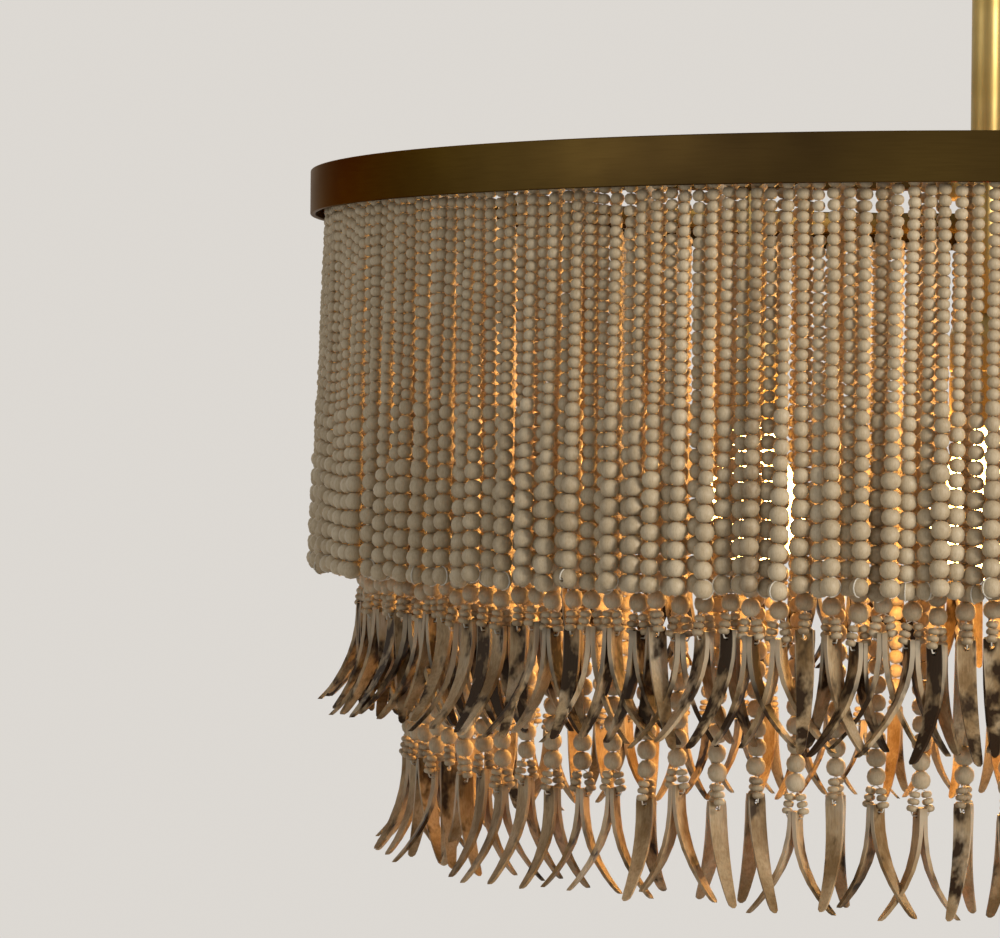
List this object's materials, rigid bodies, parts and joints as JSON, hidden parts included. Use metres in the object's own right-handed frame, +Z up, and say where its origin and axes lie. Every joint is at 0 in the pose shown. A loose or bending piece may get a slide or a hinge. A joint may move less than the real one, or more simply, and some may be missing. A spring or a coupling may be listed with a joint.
{
  "type": "beaded chandelier",
  "caption": "Round chandelier on a brass rod: a brass ring hung with three tiers of graded wooden bead strands, the inner tiers ending in pairs of mottled slats, with bulbs inside",
  "frame": {"origin": "on the ceiling, on the axis of the rod", "axes": "+Z up, out of the top of the bracket; +X along the bracket and the right arm; the chandelier hangs down -Z"},
  "size_m": [0.765, 0.765, 0.8836],
  "materials": {
    "aged_brass": "aged satin",
    "dark_brass": "dark aged satin",
    "washed_wood": "pale matte wash",
    "mottled_slat": "polished mottled bone or horn",
    "thread": "waxed cotton thread",
    "bulb_glass": "frosted, lit warm",
    "bulb_cap": "threaded cap"
  },
  "bodies": {
    "ceiling_mount": {"ceiling_bracket": "aged_brass", "canopy": "aged_brass", "canopy_screw_left": "aged_brass", "canopy_screw_right": "aged_brass", "swivel_upper_yoke": "aged_brass"},
    "swivel": {"swivel_cross": "aged_brass"},
    "frame": {"swivel_lower_yoke": "aged_brass", "upper_rod": "aged_brass", "rod_coupler": "aged_brass", "lower_rod": "aged_brass", "hub": "aged_brass", "hub_nut": "aged_brass", "ring_band": "dark_brass", "strand_rail_outer": "dark_brass", "strand_rail_middle": "dark_brass", "strand_rail_inner": "dark_brass", "arm_right": "dark_brass", "drop_tube_right": "aged_brass", "lamp_holder_right": "aged_brass", "arm_back": "dark_brass", "drop_tube_back": "aged_brass", "lamp_holder_back": "aged_brass", "arm_left": "dark_brass", "drop_tube_left": "aged_brass", "lamp_holder_left": "aged_brass", "arm_front": "dark_brass", "drop_tube_front": "aged_brass", "lamp_holder_front": "aged_brass"},
    "bulb_right_body": {"bulb_right": "bulb_glass"},
    "bulb_back_body": {"bulb_back": "bulb_glass"},
    "bulb_left_body": {"bulb_left": "bulb_glass"},
    "bulb_front_body": {"bulb_front": "bulb_glass"},
    "panel_outer_1": {"strands_outer_1": "washed_wood"},
    "panel_middle_1": {"strands_middle_1": "washed_wood"},
    "panel_inner_1": {"strands_inner_1": "washed_wood"},
    "panel_outer_2": {"strands_outer_2": "washed_wood"},
    "panel_middle_2": {"strands_middle_2": "washed_wood"},
    "panel_inner_2": {"strands_inner_2": "washed_wood"},
    "panel_outer_3": {"strands_outer_3": "washed_wood"},
    "panel_middle_3": {"strands_middle_3": "washed_wood"},
    "panel_inner_3": {"strands_inner_3": "washed_wood"},
    "panel_outer_4": {"strands_outer_4": "washed_wood"},
    "panel_middle_4": {"strands_middle_4": "washed_wood"},
    "panel_inner_4": {"strands_inner_4": "washed_wood"},
    "panel_outer_5": {"strands_outer_5": "washed_wood"},
    "panel_middle_5": {"strands_middle_5": "washed_wood"},
    "panel_inner_5": {"strands_inner_5": "washed_wood"},
    "panel_outer_6": {"strands_outer_6": "washed_wood"},
    "panel_middle_6": {"strands_middle_6": "washed_wood"},
    "panel_inner_6": {"strands_inner_6": "washed_wood"},
    "panel_outer_7": {"strands_outer_7": "washed_wood"},
    "panel_middle_7": {"strands_middle_7": "washed_wood"},
    "panel_inner_7": {"strands_inner_7": "washed_wood"},
    "panel_outer_8": {"strands_outer_8": "washed_wood"},
    "panel_middle_8": {"strands_middle_8": "washed_wood"},
    "panel_inner_8": {"strands_inner_8": "washed_wood"}
  },
  "joints": [
    {"name": "swivel_tilt_x", "type": "hinge", "parent": "ceiling_mount", "child": "swivel", "pos_m": [0, 0, -0.018], "axis": [1, 0, 0], "range_deg": [-15, 15]},
    {"name": "swivel_tilt_y", "type": "hinge", "parent": "swivel", "child": "frame", "pos_m": [0, 0, -0.018], "axis": [0, 1, 0], "range_deg": [-15, 15]},
    {"name": "bulb_right_out", "type": "slide", "parent": "frame", "child": "bulb_right_body", "axis": [0, 0, -1], "range_m": [0, 0.27]},
    {"name": "bulb_back_out", "type": "slide", "parent": "frame", "child": "bulb_back_body", "axis": [0, 0, -1], "range_m": [0, 0.27]},
    {"name": "bulb_left_out", "type": "slide", "parent": "frame", "child": "bulb_left_body", "axis": [0, 0, -1], "range_m": [0, 0.27]},
    {"name": "bulb_front_out", "type": "slide", "parent": "frame", "child": "bulb_front_body", "axis": [0, 0, -1], "range_m": [0, 0.27]},
    {"name": "swing_outer_1", "type": "hinge", "parent": "frame", "child": "panel_outer_1", "pos_m": [0.33127, 0.13722, -0.5165], "axis": [0.3827, -0.9239, 0], "range_deg": [0, 12]},
    {"name": "swing_middle_1", "type": "hinge", "parent": "frame", "child": "panel_middle_1", "pos_m": [0.31236, 0.12939, -0.5165], "axis": [0.3827, -0.9239, 0], "range_deg": [0, 12]},
    {"name": "swing_inner_1", "type": "hinge", "parent": "frame", "child": "panel_inner_1", "pos_m": [0.28805, 0.11932, -0.5165], "axis": [0.3827, -0.9239, 0], "range_deg": [0, 12]},
    {"name": "swing_outer_2", "type": "hinge", "parent": "frame", "child": "panel_outer_2", "pos_m": [0.13722, 0.33127, -0.5165], "axis": [0.9239, -0.3827, 0], "range_deg": [0, 12]},
    {"name": "swing_middle_2", "type": "hinge", "parent": "frame", "child": "panel_middle_2", "pos_m": [0.12939, 0.31236, -0.5165], "axis": [0.9239, -0.3827, 0], "range_deg": [0, 12]},
    {"name": "swing_inner_2", "type": "hinge", "parent": "frame", "child": "panel_inner_2", "pos_m": [0.11932, 0.28805, -0.5165], "axis": [0.9239, -0.3827, 0], "range_deg": [0, 12]},
    {"name": "swing_outer_3", "type": "hinge", "parent": "frame", "child": "panel_outer_3", "pos_m": [-0.13722, 0.33127, -0.5165], "axis": [0.9239, 0.3827, 0], "range_deg": [0, 12]},
    {"name": "swing_middle_3", "type": "hinge", "parent": "frame", "child": "panel_middle_3", "pos_m": [-0.12939, 0.31236, -0.5165], "axis": [0.9239, 0.3827, 0], "range_deg": [0, 12]},
    {"name": "swing_inner_3", "type": "hinge", "parent": "frame", "child": "panel_inner_3", "pos_m": [-0.11932, 0.28805, -0.5165], "axis": [0.9239, 0.3827, 0], "range_deg": [0, 12]},
    {"name": "swing_outer_4", "type": "hinge", "parent": "frame", "child": "panel_outer_4", "pos_m": [-0.33127, 0.13722, -0.5165], "axis": [0.3827, 0.9239, 0], "range_deg": [0, 12]},
    {"name": "swing_middle_4", "type": "hinge", "parent": "frame", "child": "panel_middle_4", "pos_m": [-0.31236, 0.12939, -0.5165], "axis": [0.3827, 0.9239, 0], "range_deg": [0, 12]},
    {"name": "swing_inner_4", "type": "hinge", "parent": "frame", "child": "panel_inner_4", "pos_m": [-0.28805, 0.11932, -0.5165], "axis": [0.3827, 0.9239, 0], "range_deg": [0, 12]},
    {"name": "swing_outer_5", "type": "hinge", "parent": "frame", "child": "panel_outer_5", "pos_m": [-0.33127, -0.13722, -0.5165], "axis": [-0.3827, 0.9239, 0], "range_deg": [0, 12]},
    {"name": "swing_middle_5", "type": "hinge", "parent": "frame", "child": "panel_middle_5", "pos_m": [-0.31236, -0.12939, -0.5165], "axis": [-0.3827, 0.9239, 0], "range_deg": [0, 12]},
    {"name": "swing_inner_5", "type": "hinge", "parent": "frame", "child": "panel_inner_5", "pos_m": [-0.28805, -0.11932, -0.5165], "axis": [-0.3827, 0.9239, 0], "range_deg": [0, 12]},
    {"name": "swing_outer_6", "type": "hinge", "parent": "frame", "child": "panel_outer_6", "pos_m": [-0.13722, -0.33127, -0.5165], "axis": [-0.9239, 0.3827, 0], "range_deg": [0, 12]},
    {"name": "swing_middle_6", "type": "hinge", "parent": "frame", "child": "panel_middle_6", "pos_m": [-0.12939, -0.31236, -0.5165], "axis": [-0.9239, 0.3827, 0], "range_deg": [0, 12]},
    {"name": "swing_inner_6", "type": "hinge", "parent": "frame", "child": "panel_inner_6", "pos_m": [-0.11932, -0.28805, -0.5165], "axis": [-0.9239, 0.3827, 0], "range_deg": [0, 12]},
    {"name": "swing_outer_7", "type": "hinge", "parent": "frame", "child": "panel_outer_7", "pos_m": [0.13722, -0.33127, -0.5165], "axis": [-0.9239, -0.3827, 0], "range_deg": [0, 12]},
    {"name": "swing_middle_7", "type": "hinge", "parent": "frame", "child": "panel_middle_7", "pos_m": [0.12939, -0.31236, -0.5165], "axis": [-0.9239, -0.3827, 0], "range_deg": [0, 12]},
    {"name": "swing_inner_7", "type": "hinge", "parent": "frame", "child": "panel_inner_7", "pos_m": [0.11932, -0.28805, -0.5165], "axis": [-0.9239, -0.3827, 0], "range_deg": [0, 12]},
    {"name": "swing_outer_8", "type": "hinge", "parent": "frame", "child": "panel_outer_8", "pos_m": [0.33127, -0.13722, -0.5165], "axis": [-0.3827, -0.9239, 0], "range_deg": [0, 12]},
    {"name": "swing_middle_8", "type": "hinge", "parent": "frame", "child": "panel_middle_8", "pos_m": [0.31236, -0.12939, -0.5165], "axis": [-0.3827, -0.9239, 0], "range_deg": [0, 12]},
    {"name": "swing_inner_8", "type": "hinge", "parent": "frame", "child": "panel_inner_8", "pos_m": [0.28805, -0.11932, -0.5165], "axis": [-0.3827, -0.9239, 0], "range_deg": [0, 12]}
  ],
  "couplings": [
    {"joint": "swing_middle_1", "follows": "swing_outer_1", "ratio": 1},
    {"joint": "swing_inner_1", "follows": "swing_outer_1", "ratio": 1},
    {"joint": "swing_middle_2", "follows": "swing_outer_2", "ratio": 1},
    {"joint": "swing_inner_2", "follows": "swing_outer_2", "ratio": 1},
    {"joint": "swing_middle_3", "follows": "swing_outer_3", "ratio": 1},
    {"joint": "swing_inner_3", "follows": "swing_outer_3", "ratio": 1},
    {"joint": "swing_middle_4", "follows": "swing_outer_4", "ratio": 1},
    {"joint": "swing_inner_4", "follows": "swing_outer_4", "ratio": 1},
    {"joint": "swing_middle_5", "follows": "swing_outer_5", "ratio": 1},
    {"joint": "swing_inner_5", "follows": "swing_outer_5", "ratio": 1},
    {"joint": "swing_middle_6", "follows": "swing_outer_6", "ratio": 1},
    {"joint": "swing_inner_6", "follows": "swing_outer_6", "ratio": 1},
    {"joint": "swing_middle_7", "follows": "swing_outer_7", "ratio": 1},
    {"joint": "swing_inner_7", "follows": "swing_outer_7", "ratio": 1},
    {"joint": "swing_middle_8", "follows": "swing_outer_8", "ratio": 1},
    {"joint": "swing_inner_8", "follows": "swing_outer_8", "ratio": 1}
  ]
}
